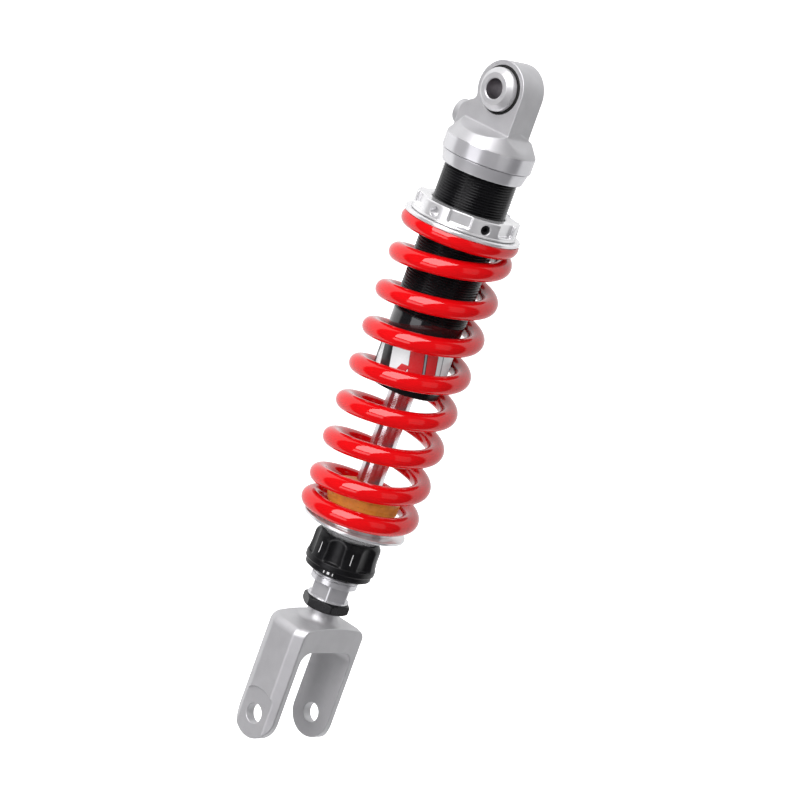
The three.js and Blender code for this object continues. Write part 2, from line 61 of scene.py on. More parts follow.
class Mat:
    """A node material under construction."""

    def __init__(self, name):
        self.m = bpy.data.materials.new(name)
        self.m.use_nodes = True
        self.t = self.m.node_tree
        self.t.nodes.clear()
        self.out = self.t.nodes.new("ShaderNodeOutputMaterial")
        self.b = self.t.nodes.new("ShaderNodeBsdfPrincipled")
        self.t.links.new(self.b.outputs[0], self.out.inputs[0])
        self.co = self.t.nodes.new("ShaderNodeTexCoord").outputs["Object"]
        MATS[name] = self.m

    def n(self, kind, **props):
        node = self.t.nodes.new(kind)
        for k, v in props.items():
            setattr(node, k, v)
        return node

    def link(self, a, b):
        self.t.links.new(a, b)

    def set(self, **kw):
        for k, v in kw.items():
            self.b.inputs[k.replace("_", " ")].default_value = v

    def noise(self, scale, detail=2.0, rough=0.5, co=None, stretch=None):
        co = co or self.co
        if stretch:
            mp = self.n("ShaderNodeMapping")
            mp.inputs["Scale"].default_value = stretch
            self.link(co, mp.inputs["Vector"])
            co = mp.outputs[0]
        x = self.n("ShaderNodeTexNoise")
        x.inputs["Scale"].default_value = scale
        x.inputs["Detail"].default_value = detail
        x.inputs["Roughness"].default_value = rough
        self.link(co, x.inputs["Vector"])
        return x.outputs["Fac"]

    def rng(self, v, a, b, lo=0.3, hi=0.7):
        x = self.n("ShaderNodeMapRange")
        x.inputs["From Min"].default_value = lo
        x.inputs["From Max"].default_value = hi
        x.inputs["To Min"].default_value = a
        x.inputs["To Max"].default_value = b
        self.link(v, x.inputs["Value"])
        return x.outputs[0]

    def math(self, op, a, b=None):
        x = self.n("ShaderNodeMath", operation=op)
        for i, v in enumerate((a, b)):
            if v is None:
                continue
            if isinstance(v, (int, float)):
                x.inputs[i].default_value = v
            else:
                self.link(v, x.inputs[i])
        return x.outputs[0]

    def ramp(self, v, stops, interp="LINEAR"):
        x = self.n("ShaderNodeValToRGB")
        x.color_ramp.interpolation = interp
        els = x.color_ramp.elements
        while len(els) > 1:
            els.remove(els[-1])
        els[0].position, els[0].color = stops[0][0], (*stops[0][1], 1)
        for p, c in stops[1:]:
            e = els.new(p)
            e.color = (*c, 1)
        self.link(v, x.inputs[0])
        return x.outputs[0]

    def mix(self, f, a, b):
        x = self.n("ShaderNodeMix", data_type="RGBA")
        for s, v in ((x.inputs[0], f), (x.inputs[6], a), (x.inputs[7], b)):
            if isinstance(v, (int, float)):
                s.default_value = v
            elif isinstance(v, tuple):
                s.default_value = (*v, 1)
            else:
                self.link(v, s)
        return x.outputs[2]

    # painted highlight: mask of sharp convex edges (Pointiness), used to lighten colour there as painted edge sheen
    def edge(self, lo=0.5, hi=0.56):
        g = self.n("ShaderNodeNewGeometry")
        return self.rng(g.outputs["Pointiness"], 0.0, 1.0, lo, hi)

    def bump(self, h, strength, dist, prev=None):
        x = self.n("ShaderNodeBump")
        x.inputs["Strength"].default_value = strength
        x.inputs["Distance"].default_value = dist
        self.link(h, x.inputs["Height"])
        if prev is not None:
            self.link(prev, x.inputs["Normal"])
        return x.outputs[0]

    def turned_co(self, axis="Z"):
        """(distance from the axis, 0, place along the axis): grooves left by a lathe tool."""
        s = self.n("ShaderNodeSeparateXYZ")
        self.link(self.co, s.inputs[0])
        a, b, c = {"Z": (0, 1, 2), "X": (1, 2, 0)}[axis]
        r = self.math("SQRT", self.math("ADD", self.math("MULTIPLY", s.outputs[a], s.outputs[a]), self.math("MULTIPLY", s.outputs[b], s.outputs[b])))
        j = self.n("ShaderNodeCombineXYZ")
        self.link(r, j.inputs[0])
        self.link(s.outputs[c], j.inputs[2])
        return j.outputs[0]

    def put(self, sock, v):
        self.link(v, self.b.inputs[sock])


def make_materials():
    # bead-blasted and anodised aluminium
    m = Mat("satin_aluminium")
    m.set(Metallic=0.62, Specular_IOR_Level=0.5)
    big, fine = m.noise(60, 3), m.noise(4200, 2, 0.6)
    c = m.mix(m.rng(big, 0, 1), (0.53, 0.53, 0.54), (0.61, 0.61, 0.62))
    # painted highlight: convex edges mixed halfway toward light grey
    c = m.mix(m.math("MULTIPLY", m.edge(0.52, 0.60), 0.5), c, (0.86, 0.86, 0.87))
    m.put("Base Color", c)
    m.put("Roughness", m.rng(m.noise(900, 3), 0.42, 0.50))
    m.put("Normal", m.bump(fine, 0.06, 0.00010, m.bump(m.noise(140, 3), 0.02, 0.0004)))

    # the same metal where it is turned: smoother, with faint tool lines
    m = Mat("turned_cap")
    m.set(Metallic=0.62)
    m.put("Base Color", m.mix(m.rng(m.noise(60, 3), 0, 1), (0.66, 0.66, 0.68), (0.74, 0.74, 0.755)))
    m.put("Roughness", m.rng(m.noise(900, 3), 0.20, 0.26))
    m.put("Normal", m.bump(m.noise(500, 2), 0.02, 0.00010))

    # turned aluminium under clear lacquer
    m = Mat("bright_aluminium")
    m.set(Metallic=0.6, Coat_Weight=0.35, Coat_Roughness=0.06)
    t = m.turned_co()
    lines = m.noise(3200, 2, 0.7, co=t)
    c = m.mix(m.rng(m.noise(90, 2), 0, 1), (0.80, 0.80, 0.81), (0.90, 0.90, 0.905))
    # painted highlight: convex edges mixed toward near white
    c = m.mix(m.math("MULTIPLY", m.edge(0.53, 0.62), 0.6), c, (0.97, 0.97, 0.97))
    m.put("Base Color", c)
    m.put("Roughness", m.rng(lines, 0.15, 0.27))
    m.put("Normal", m.bump(lines, 0.10, 0.00008, m.bump(m.noise(260, 2), 0.06, 0.0003)))

    # collars of the eye, turned about X
    m = Mat("turned_collar")
    m.set(Metallic=0.6)
    t = m.turned_co("X")
    lines = m.noise(3000, 2, 0.7, co=t)
    m.put("Base Color", m.mix(m.rng(m.noise(120, 2), 0, 1), (0.63, 0.63, 0.64), (0.73, 0.73, 0.735)))
    m.put("Roughness", m.rng(lines, 0.32, 0.42))
    m.put("Normal", m.bump(lines, 0.06, 0.00008))

    # unplated steel inside the bolt bore
    m = Mat("bore_steel")
    m.set(Metallic=1.0)
    m.put("Base Color", m.mix(m.rng(m.noise(300, 3), 0, 1), (0.30, 0.28, 0.30), (0.38, 0.36, 0.38)))
    m.put("Roughness", m.rng(m.noise(900, 2), 0.35, 0.5))

    # bright zinc on steel
    m = Mat("zinc_steel")
    m.set(Metallic=1.0)
    t = m.turned_co()
    c = m.mix(m.rng(m.noise(220, 4), 0, 1), (0.60, 0.60, 0.62), (0.74, 0.74, 0.75))
    m.put("Base Color", c)
    m.put("Roughness", m.rng(m.noise(700, 3), 0.2, 0.34))
    m.put("Normal", m.bump(m.noise(2600, 2, 0.6, co=t), 0.1, 0.00008))

    # hard chrome, ground and polished
    m = Mat("hard_chrome")
    m.set(Metallic=1.0, Base_Color=(0.82, 0.81, 0.83, 1))
    m.put("Roughness", m.rng(m.noise(400, 3, stretch=(1, 1, 0.15)), 0.16, 0.20))
    # ground round its length, so highlights run along the rod
    m.set(Anisotropic=1.0, Anisotropic_Rotation=0.25)
    tg = m.n("ShaderNodeTangent", direction_type="RADIAL", axis="Z")
    m.put("Tangent", tg.outputs[0])

    # hard black anodising
    m = Mat("black_anodised")
    m.set(Metallic=0.0, Specular_IOR_Level=0.2)
    c = m.mix(m.rng(m.noise(150, 3), 0, 1), (0.004, 0.004, 0.0045), (0.008, 0.008, 0.009))
    # painted sheen: convex edges lifted slightly toward grey
    c = m.mix(m.math("MULTIPLY", m.edge(0.54, 0.64), 0.03), c, (0.10, 0.10, 0.105))
    m.put("Base Color", c)
    m.put("Roughness", m.rng(m.noise(800, 3), 0.16, 0.26))
    m.put("Normal", m.bump(m.noise(3800, 2), 0.06, 0.00006))

    # smooth lower end of the tube
    m = Mat("black_gloss")
    m.set(Metallic=0.0, Specular_IOR_Level=0.15, Coat_Weight=1.0, Coat_Roughness=0.02, Coat_IOR=1.6)
    m.put("Base Color", m.mix(m.rng(m.noise(80, 2), 0, 1), (0.005, 0.005, 0.006), (0.010, 0.010, 0.011)))
    m.put("Roughness", m.rng(m.noise(500, 3), 0.2, 0.28))
    m.put("Normal", m.bump(m.noise(900, 2), 0.01, 0.0001))

    # black oxide on steel
    m = Mat("black_steel")
    m.set(Metallic=0.0, Specular_IOR_Level=0.3)
    c = m.mix(m.rng(m.noise(240, 4), 0, 1), (0.005, 0.005, 0.006), (0.012, 0.012, 0.013))
    # painted sheen: convex edges lifted toward grey
    c = m.mix(m.math("MULTIPLY", m.edge(0.53, 0.62), 0.15), c, (0.13, 0.13, 0.135))
    m.put("Base Color", c)
    m.put("Roughness", m.rng(m.noise(900, 3), 0.24, 0.4))
    m.put("Normal", m.bump(m.noise(1800, 3), 0.12, 0.0001))

    # moulded black plastic
    m = Mat("black_plastic")
    m.set(Specular_IOR_Level=0.3)
    c = m.mix(m.rng(m.noise(180, 3), 0, 1), (0.004, 0.004, 0.0045), (0.008, 0.008, 0.009))
    # painted sheen: convex edges lifted toward grey
    c = m.mix(m.math("MULTIPLY", m.edge(0.53, 0.62), 0.3), c, (0.06, 0.06, 0.062))
    m.put("Base Color", c)
    m.put("Roughness", m.rng(m.noise(1200, 3), 0.27, 0.40))
    m.put("Normal", m.bump(m.noise(2600, 3), 0.14, 0.0001))

    m = Mat("white_print")
    m.set(Specular_IOR_Level=0.4)
    m.put("Base Color", m.mix(m.rng(m.noise(1500, 3), 0, 1), (0.55, 0.55, 0.55), (0.80, 0.80, 0.80)))
    m.put("Roughness", m.rng(m.noise(900, 2), 0.4, 0.55))

    m = Mat("black_rubber")
    m.set(Specular_IOR_Level=0.35)
    m.put("Base Color", m.mix(m.rng(m.noise(300, 3), 0, 1), (0.006, 0.006, 0.006), (0.018, 0.018, 0.018)))
    m.put("Roughness", m.rng(m.noise(700, 3), 0.55, 0.75))
    m.put("Normal", m.bump(m.noise(2400, 3), 0.15, 0.0001))

    m = Mat("bronze")
    m.set(Metallic=1.0)
    m.put("Base Color", m.mix(m.rng(m.noise(240, 3), 0, 1), (0.50, 0.34, 0.16), (0.62, 0.44, 0.22)))
    m.put("Roughness", m.rng(m.noise(900, 3), 0.3, 0.45))
    m.put("Normal", m.bump(m.noise(2400, 2, co=m.turned_co("X")), 0.1, 0.00008))

    m = Mat("dark_polymer")
    m.set(Specular_IOR_Level=0.45)
    m.put("Base Color", m.mix(m.rng(m.noise(200, 3), 0, 1), (0.16, 0.12, 0.09), (0.23, 0.18, 0.13)))
    m.put("Roughness", m.rng(m.noise(900, 3), 0.4, 0.55))
    m.put("Normal", m.bump(m.noise(1800, 3), 0.1, 0.0001))

    # gloss red powder coat with a faint orange-peel surface
    m = Mat("red_powder_coat")
    m.set(Specular_IOR_Level=0.0, Coat_Weight=1.0, Coat_Roughness=0.012, Coat_IOR=1.6)
    c = m.mix(m.rng(m.noise(45, 3), 0, 1), (0.66, 0.0020, 0.004), (0.74, 0.0030, 0.005))
    c = m.mix(m.rng(m.noise(700, 2), 0, 0.06), c, (0.50, 0.002, 0.004))
    m.put("Base Color", c)
    m.put("Roughness", m.rng(m.noise(600, 2), 0.38, 0.46))
    peel = m.bump(m.noise(420, 2, 0.45), 0.006, 0.0003)
    m.put("Normal", peel)
    m.put("Coat Normal", peel)

    # cast amber polyurethane
    m = Mat("amber_polyurethane")
    m.set(Specular_IOR_Level=0.4, Subsurface_Weight=0.18, Subsurface_Radius=(0.004, 0.0018, 0.0006), Subsurface_Scale=1.0)
    c = m.mix(m.rng(m.noise(170, 4, 0.6), 0, 1), (0.60, 0.165, 0.012), (0.80, 0.26, 0.022))
    spots = m.rng(m.noise(650, 2), 0, 0.5, 0.62, 0.75)
    c = m.mix(spots, c, (0.30, 0.11, 0.02))
    m.put("Base Color", c)
    m.put("Roughness", m.rng(m.noise(500, 3), 0.42, 0.6))
    m.put("Normal", m.bump(m.noise(900, 3), 0.2, 0.0002))

    # printed label: slanted bands of white, black, red and grey, a dark foot line
    m = Mat("label_print")
    m.set(Specular_IOR_Level=0.5, Coat_Weight=0.5, Coat_Roughness=0.05, Roughness=0.3)
    uv = m.n("ShaderNodeUVMap", uv_map="label").outputs[0]
    s = m.n("ShaderNodeSeparateXYZ")
    m.link(uv, s.inputs[0])
    u, v = s.outputs[0], s.outputs[1]
    W, K, R, G = (0.80, 0.80, 0.80), (0.012, 0.012, 0.013), (0.66, 0.008, 0.012), (0.28, 0.28, 0.30)
    slant = m.math("ADD", u, m.math("MULTIPLY", m.math("SUBTRACT", v, 0.5), 0.07))
    band = m.ramp(slant, [(0.0, W), (0.085, K), (0.225, W), (0.43, K), (0.437, R), (0.585, K), (0.593, G), (0.612, K), (0.618, R), (0.735, K), (0.742, W), (0.80, G), (0.815, W)], "CONSTANT")
    slant2 = m.math("SUBTRACT", u, m.math("MULTIPLY", v, 0.16))
    wedge = m.ramp(slant2, [(0.0, W), (0.30, R), (0.395, W)], "CONSTANT")
    low = m.math("LESS_THAN", v, 0.42)
    inside = m.math("MULTIPLY", m.math("LESS_THAN", slant2, 0.395), m.math("GREATER_THAN", slant2, 0.30))
    c = m.mix(m.math("MULTIPLY", low, inside), band, wedge)
    foot = m.math("MULTIPLY", m.math("LESS_THAN", v, 0.16), m.math("MULTIPLY", m.math("GREATER_THAN", u, 0.5), m.math("LESS_THAN", u, 0.80)))
    c = m.mix(foot, c, K)
    c = m.mix(m.rng(m.noise(900, 3), 0, 0.06), c, (0.3, 0.3, 0.3))
    m.put("Base Color", c)
    m.put("Normal", m.bump(m.noise(300, 2), 0.03, 0.0002))


make_materials()


# ------------------------------------------------------------------------------------------------
# mesh helpers, in millimetres
# ------------------------------------------------------------------------------------------------
def new_object(name, verts, faces, material, smooth=True, normals=None):
    me = bpy.data.meshes.new(name)
    me.from_pydata((np.asarray(verts, float) * MM).tolist(), [], faces if isinstance(faces, list) else faces.tolist())
    me.validate()
    if smooth:
        me.polygons.foreach_set("use_smooth", np.ones(len(me.polygons), bool))
    me.materials.append(MATS[material])
    ob = bpy.data.objects.new(name, me)
    SCENE.collection.objects.link(ob)
    if normals is not None and len(me.vertices) == len(verts):
        me.normals_split_custom_set_from_vertices(np.asarray(normals, float).tolist())
    return ob


def fillet(points, closed, radius=0.3, steps=4):
    """Rounds the corners of an outline of (r, z) or (r, z, corner radius) points."""
    n = len(points)
    p = [np.array(q[:2], float) for q in points]
    rr = [q[2] if len(q) > 2 else radius for q in points]
    out = []
    for i in range(n):
        if not closed and i in (0, n - 1):
            out.append(p[i])
            continue
        a, b, c = p[i - 1], p[i], p[(i + 1) % n]
        u, v = a - b, c - b
        lu, lv = np.linalg.norm(u), np.linalg.norm(v)
        u, v = u / lu, v / lv
        cosang = float(np.clip(u @ v, -1, 1))
        ang = math.acos(cosang)
        if rr[i] <= 0 or ang > math.pi - 0.05:
            out.append(b)
            continue
        t = min(rr[i] / math.tan(ang / 2), lu * 0.48, lv * 0.48)
        r = t * math.tan(ang / 2)
        centre = b + (u + v) / np.linalg.norm(u + v) * (r / math.sin(ang / 2))
        s, e = b + u * t, b + v * t
        a0, a1 = math.atan2(*(s - centre)[::-1]), math.atan2(*(e - centre)[::-1])
        d = (a1 - a0 + math.pi) % (2 * math.pi) - math.pi
        for k in range(steps + 1):
            th = a0 + d * k / steps
            out.append(centre + r * np.array([math.cos(th), math.sin(th)]))
    return np.array(out)


def lathe(name, points, material, seg=128, closed=True, radius=0.3, steps=4, axis="Z", mod=None):
    """Solid of revolution with rounded corners. Its outline runs counter-clockwise in (r, z)."""
    q = fillet(points, closed, radius, steps)
    keep = [0] + [i for i in range(1, len(q)) if np.linalg.norm(q[i] - q[i - 1]) > 1e-5]
    q = q[keep]
    area = 0.5 * np.sum(q[:, 0] * np.roll(q[:, 1], -1) - np.roll(q[:, 0], -1) * q[:, 1])
    if area < 0:
        q = q[::-1]
    n = len(q)
    # normals weighted by the length of the two neighbouring stretches
    d = np.roll(q, -1, 0) - q
    ln = np.linalg.norm(d, axis=1)
    nrm = np.stack([d[:, 1], -d[:, 0]], 1)
    if not closed:
        nrm[-1] = 0
    vn = nrm * ln[:, None] + np.roll(nrm * ln[:, None], 1, 0)
    vn /= np.maximum(np.linalg.norm(vn, axis=1), 1e-9)[:, None]
    th = np.arange(seg) * 2 * math.pi / seg
    verts, normals, ring = [], [], []
    for i, (r, z) in enumerate(q):
        if r < 1e-6:
            ring.append([len(verts)] * seg)
            verts.append((0, 0, z))
            normals.append((0, 0, math.copysign(1, vn[i][1])))
        else:
            ring.append(list(range(len(verts), len(verts) + seg)))
            rs = np.full(seg, r) if mod is None else mod(r, z, th)
            verts += list(zip(rs * np.cos(th), rs * np.sin(th), np.full(seg, z)))
            normals += list(zip(vn[i][0] * np.cos(th), vn[i][0] * np.sin(th), np.full(seg, vn[i][1])))
    faces = []
    for i in range(n if closed else n - 1):
        a, b = ring[i], ring[(i + 1) % n]
        for j in range(seg):
            k = (j + 1) % seg
            f = [a[j], a[k], b[k], b[j]]
            f = [x for m, x in enumerate(f) if x != f[m - 1]]
            if len(f) > 2:
                faces.append(f)
    v, nn = np.array(verts), np.array(normals)
    if axis in ("X", "-X"):
        v, nn = v[:, [2, 0, 1]], nn[:, [2, 0, 1]]
        if axis == "-X":
            v, nn = v * [-1, -1, 1], nn * [-1, -1, 1]
    return new_object(name, v, faces, material, normals=None if mod else nn)


def r_int(r, *ds):
    """Intersection of solids given as distances, with outside edges rounded to r."""
    d = ds[0]
    for e in ds[1:]:
        if r <= 0:
            d = np.maximum(d, e)
        else:
            d = np.minimum(np.maximum(d, e), -r) + np.hypot(np.maximum(d + r, 0), np.maximum(e + r, 0))
    return d


def r_uni(r, *ds):
    return -r_int(r, *[-d for d in ds])


def r_cut(r, a, b):
    return r_int(r, a, -b)


def poly_table(points, closed=True, radius=0.3, h=0.08, pad=2.0, steps=4):
    """Signed distance to an outline in (r, z), tabulated."""
    v = fillet(points, closed, radius, steps)
    lo, hi = v.min(0) - pad, v.max(0) + pad
    if not closed:
        lo[0] = min(lo[0], -1.0)
    nr, nz = (np.ceil((hi - lo) / h).astype(int) + 2)
    R, Z = np.meshgrid(lo[0] + h * np.arange(nr), lo[1] + h * np.arange(nz), indexing="ij")
    best = np.full(R.shape, 1e9)
    inside = np.zeros(R.shape, bool)
    for a, b in zip(v, np.roll(v, -1, 0)):
        e = b - a
        wx, wz = R - a[0], Z - a[1]
        t = np.clip((wx * e[0] + wz * e[1]) / max(e @ e, 1e-12), 0, 1)
        best = np.minimum(best, (wx - t * e[0]) ** 2 + (wz - t * e[1]) ** 2)
        if abs(e[1]) > 1e-12:
            cross = ((a[1] > Z) != (b[1] > Z)) & (R < e[0] * (Z - a[1]) / e[1] + a[0])
            inside ^= cross
    D = np.sqrt(best) * np.where(inside, -1, 1)

    def g(r, z):
        a = np.clip((r - lo[0]) / h, 0, nr - 1.001)
        b = np.clip((z - lo[1]) / h, 0, nz - 1.001)
        i, j = a.astype(int), b.astype(int)
        fa, fb = a - i, b - j
        return (D[i, j] * (1 - fa) + D[i + 1, j] * fa) * (1 - fb) + (D[i, j + 1] * (1 - fa) + D[i + 1, j + 1] * fa) * fb

    return g


def nets(name, f, low, high, h, material):
    """Closed mesh of the surface f = 0 (f below 0 inside), one vertex a cell, moved onto the surface."""
    low = np.array(low, float)
    n = np.ceil((np.array(high, float) - low) / h).astype(int) + 1
    ax = [low[i] + h * np.arange(n[i]) for i in range(3)]
    V = f(*np.meshgrid(*ax, indexing="ij"))
    s = V < 0
    count = np.zeros(tuple(n - 1), np.int8)
    for dx, dy, dz in product((0, 1), repeat=3):
        count += s[dx:n[0] - 1 + dx, dy:n[1] - 1 + dy, dz:n[2] - 1 + dz]
    act = (count > 0) & (count < 8)
    cells = np.argwhere(act)
    index = np.full(act.shape, -1, np.int64)
    index[act] = np.arange(len(cells))
    P, W = np.zeros((len(cells), 3)), np.zeros(len(cells))
    corners = list(product((0, 1), repeat=3))
    for a in corners:
        for k in range(3):
            if a[k]:
                continue
            b = tuple(1 if i == k else a[i] for i in range(3))
            ca, cb = cells + a, cells + b
            va, vb = V[tuple(ca.T)], V[tuple(cb.T)]
            m = (va < 0) != (vb < 0)
            t = np.where(m, va / np.where(m, va - vb, 1), 0)
            P += np.where(m[:, None], ca + t[:, None] * (cb - ca), 0)
            W += m
    P = low + h * P / W[:, None]
    home = P.copy()
    e = 0.01
    for _ in range(4):
        g = np.stack([(f(P[:, 0] + e * (k == 0), P[:, 1] + e * (k == 1), P[:, 2] + e * (k == 2)) - f(P[:, 0] - e * (k == 0), P[:, 1] - e * (k == 1), P[:, 2] - e * (k == 2))) / (2 * e) for k in range(3)], 1)
        step = f(*P.T)[:, None] * g / np.maximum((g * g).sum(1), 0.2)[:, None]
        P = P - np.clip(step, -0.4 * h, 0.4 * h)
    P = home + np.clip(P - home, -0.75 * h, 0.75 * h)
    faces = []
    for k in range(3):
        u, w = (k + 1) % 3, (k + 2) % 3
        sl0 = [slice(None)] * 3
        sl1 = [slice(None)] * 3
        sl0[k], sl1[k] = slice(0, -1), slice(1, None)
        a, b = s[tuple(sl0)], s[tuple(sl1)]
        idx = np.argwhere(a != b)
        ok = (idx[:, u] > 0) & (idx[:, w] > 0) & (idx[:, u] < n[u] - 1) & (idx[:, w] < n[w] - 1)
        idx = idx[ok]
        du, dw = np.zeros(3, int), np.zeros(3, int)
        du[u], dw[w] = 1, 1
        q = np.stack([index[tuple((idx - du - dw).T)], index[tuple((idx - dw).T)], index[tuple(idx.T)], index[tuple((idx - du).T)]], 1)
        flip = ~a[tuple(idx.T)]
        q[flip] = q[flip][:, ::-1]
        faces.append(q)
    faces = np.concatenate(faces)
    e = 0.02
    g = np.stack([f(P[:, 0] + e * (k == 0), P[:, 1] + e * (k == 1), P[:, 2] + e * (k == 2)) - f(P[:, 0] - e * (k == 0), P[:, 1] - e * (k == 1), P[:, 2] - e * (k == 2)) for k in range(3)], 1)
    g /= np.maximum(np.linalg.norm(g, axis=1), 1e-9)[:, None]
    return new_object(name, P, faces, material, normals=g)


def place(ob, body, slot, *nodes):
    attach(ob, body)
    if nodes:
        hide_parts(*nodes)
    return ob


hyp = np.hypot
rad = math.radians

# ------------------------------------------------------------------------------------------------
# CAD nodes that stay: each gets the finish of its slot
# ------------------------------------------------------------------------------------------------
SLOT = {s["node"]: s["material_slot"] for s in frame["record"]["subparts"]}
for name, ob in NODES.items():
    ob.data.materials.clear()
    ob.data.materials.append(MATS[SLOT[name]])


# ------------------------------------------------------------------------------------------------
# upper eye mount
# ------------------------------------------------------------------------------------------------
g_side = poly_table(
    [(-17.5, -38.0, 0), (30.0, -38.0, 0), (30.0, -15.6, 0), (22.8, -15.4, 0.8), (19.0, -12.6, 1.6), (16.6, -11.2, 1.0), (15.6, -9.6, 1.2), (15.6, -7.93, 0.4)]
    + [(17.5 * math.cos(rad(-26 + 4 * k)), 17.5 * math.sin(rad(-26 + 4 * k)), 0) for k in range(1, 52)], radius=0)


def f_mount(X, Y, Z):
    ax, R, E = np.abs(X), hyp(X, Y), hyp(Y, Z)
    base = r_int(0.5, R - 27.2, 0.8269 * (R - 27.2) + 0.5623 * (Z + 32.5), -42.0 - Z)
    under_flats = 0.9613 * (Z + 22.9 + 0.2867 * (ax - 9.5))
    ledge = 0.7885 * (Z + 23.4 + 0.78 * (-Y - 17.5))
    base = r_int(0.5, base, under_flats, r_uni(0.8, ledge, -17.5 - Y))
    plate = r_int(0.55, ax - 9.5, g_side(Y, Z), R - 26.4, np.minimum(0.832 * (R - 26.4) + 0.5547 * (Z + 18.0), R - 24.8))
    boss = r_int(0.6, hyp(X, Z + 23.0) - 7.7, Y - 30.3, 10.0 - Y)
    d = r_uni(0.8, base, plate)
    d = r_uni(0.6, d, boss)
    d = r_cut(0.35, d, E - 11.0)
    d = r_cut(0.45, d, np.maximum(E - 14.4, 6.3 - ax))
    d = r_cut(0.3, d, np.maximum(R - 22.6, Z + 36.0))
    d = r_cut(0.4, d, np.maximum(hyp(X, Z + 23.0) - 4.1, 10.5 - Y))
    d = np.maximum(d, -np.maximum(hyp(X, Y - 12.6) - 1.5, np.maximum(Z + 23.0, -38.0 - Z)))
    return d


mount = nets("upper_eye_mount_body", f_mount, (-28, -28, -43), (28, 31.3, 18.6), 0.42, "satin_aluminium")
mount.data.materials.append(MATS["turned_cap"])
co = np.zeros(len(mount.data.polygons) * 3)
mount.data.polygons.foreach_get("center", co)
co = co.reshape(-1, 3)
nr = np.zeros(len(mount.data.polygons) * 3)
mount.data.polygons.foreach_get("normal", nr)
nr = nr.reshape(-1, 3)
turned_face = (hyp(co[:, 0], co[:, 1]) > 0.02705) & (co[:, 2] < -0.030) | (co[:, 2] < -0.0330)
mount.data.polygons.foreach_set("material_index", turned_face.astype(np.int32))
place(mount, "damper_body", "satin_aluminium", "upper_eye_mount")

COLLAR = [(6.65, 15.4, 0.12), (9.4, 15.4, 0.25), (12.4, 12.9, 0.3), (12.9, 12.2, 0.3), (12.9, 9.8, 0.2), (9.4, 9.8, 0), (9.4, 6.6, 0.2), (7.2, 6.6, 0), (7.2, 0.3, 0.2), (6.1, 0.3, 0.1), (6.1, 14.85, 0.1)]
place(lathe("collar_right", COLLAR, "turned_collar", axis="X"), "eye_bolt_group", "zinc_steel", "upper_collar_right")
place(lathe("collar_left", COLLAR, "turned_collar", axis="-X"), "eye_bolt_group", "zinc_steel", "upper_collar_left")
for side in ("collar_right", "collar_left"):
    me = bpy.data.objects[side].data
    me.materials.append(MATS["bore_steel"])
    co = np.zeros(len(me.polygons) * 3)
    me.polygons.foreach_get("center", co)
    co = co.reshape(-1, 3)
    inner = (hyp(co[:, 1], co[:, 2]) < 0.00625) & (np.abs(co[:, 0]) < 0.0146)
    me.polygons.foreach_set("material_index", inner.astype(np.int32))
SEAL = [(9.7, 6.6, 0.1), (14.1, 6.6, 0.2), (14.1, 9.0, 0.3), (13.5, 9.35, 0.2), (12.2, 9.1, 0.6), (10.2, 9.35, 0.3), (9.7, 9.2, 0.1)]
place(lathe("seal_right", SEAL, "black_rubber", axis="X"), "damper_body", "black_rubber", "upper_seal_right")
place(lathe("seal_left", SEAL, "black_rubber", axis="-X"), "damper_body", "black_rubber", "upper_seal_left")


def f_valve(X, Y, Z):
    R = hyp(X, Z + 23.0)
    d = r_int(0.4, R - 3.8, Y - 26.0, 17.0 - Y)
    a = np.abs(X)
    hexagon = np.maximum(a - 2.0, 0.5 * a + 0.866 * np.abs(Z + 23.0) - 2.0)
    return r_cut(0.15, d, np.maximum(hexagon, 23.0 - Y))


place(nets("gas_valve", f_valve, (-4.2, 16.6, -27.2), (4.2, 26.4, -18.8), 0.2, "zinc_steel"), "damper_body", "zinc_steel", "gas_valve_plug")
place(lathe("lock_ring", [(22.6, -49.3, 0.1), (23.1, -49.8, 0.1), (24.3, -49.8, 0.25), (24.6, -49.4, 0.2), (26.3, -42.35, 0.35), (22.6, -42.35, 0.1)], "turned_cap", seg=160), "damper_body", "satin_aluminium", "body_lock_ring")


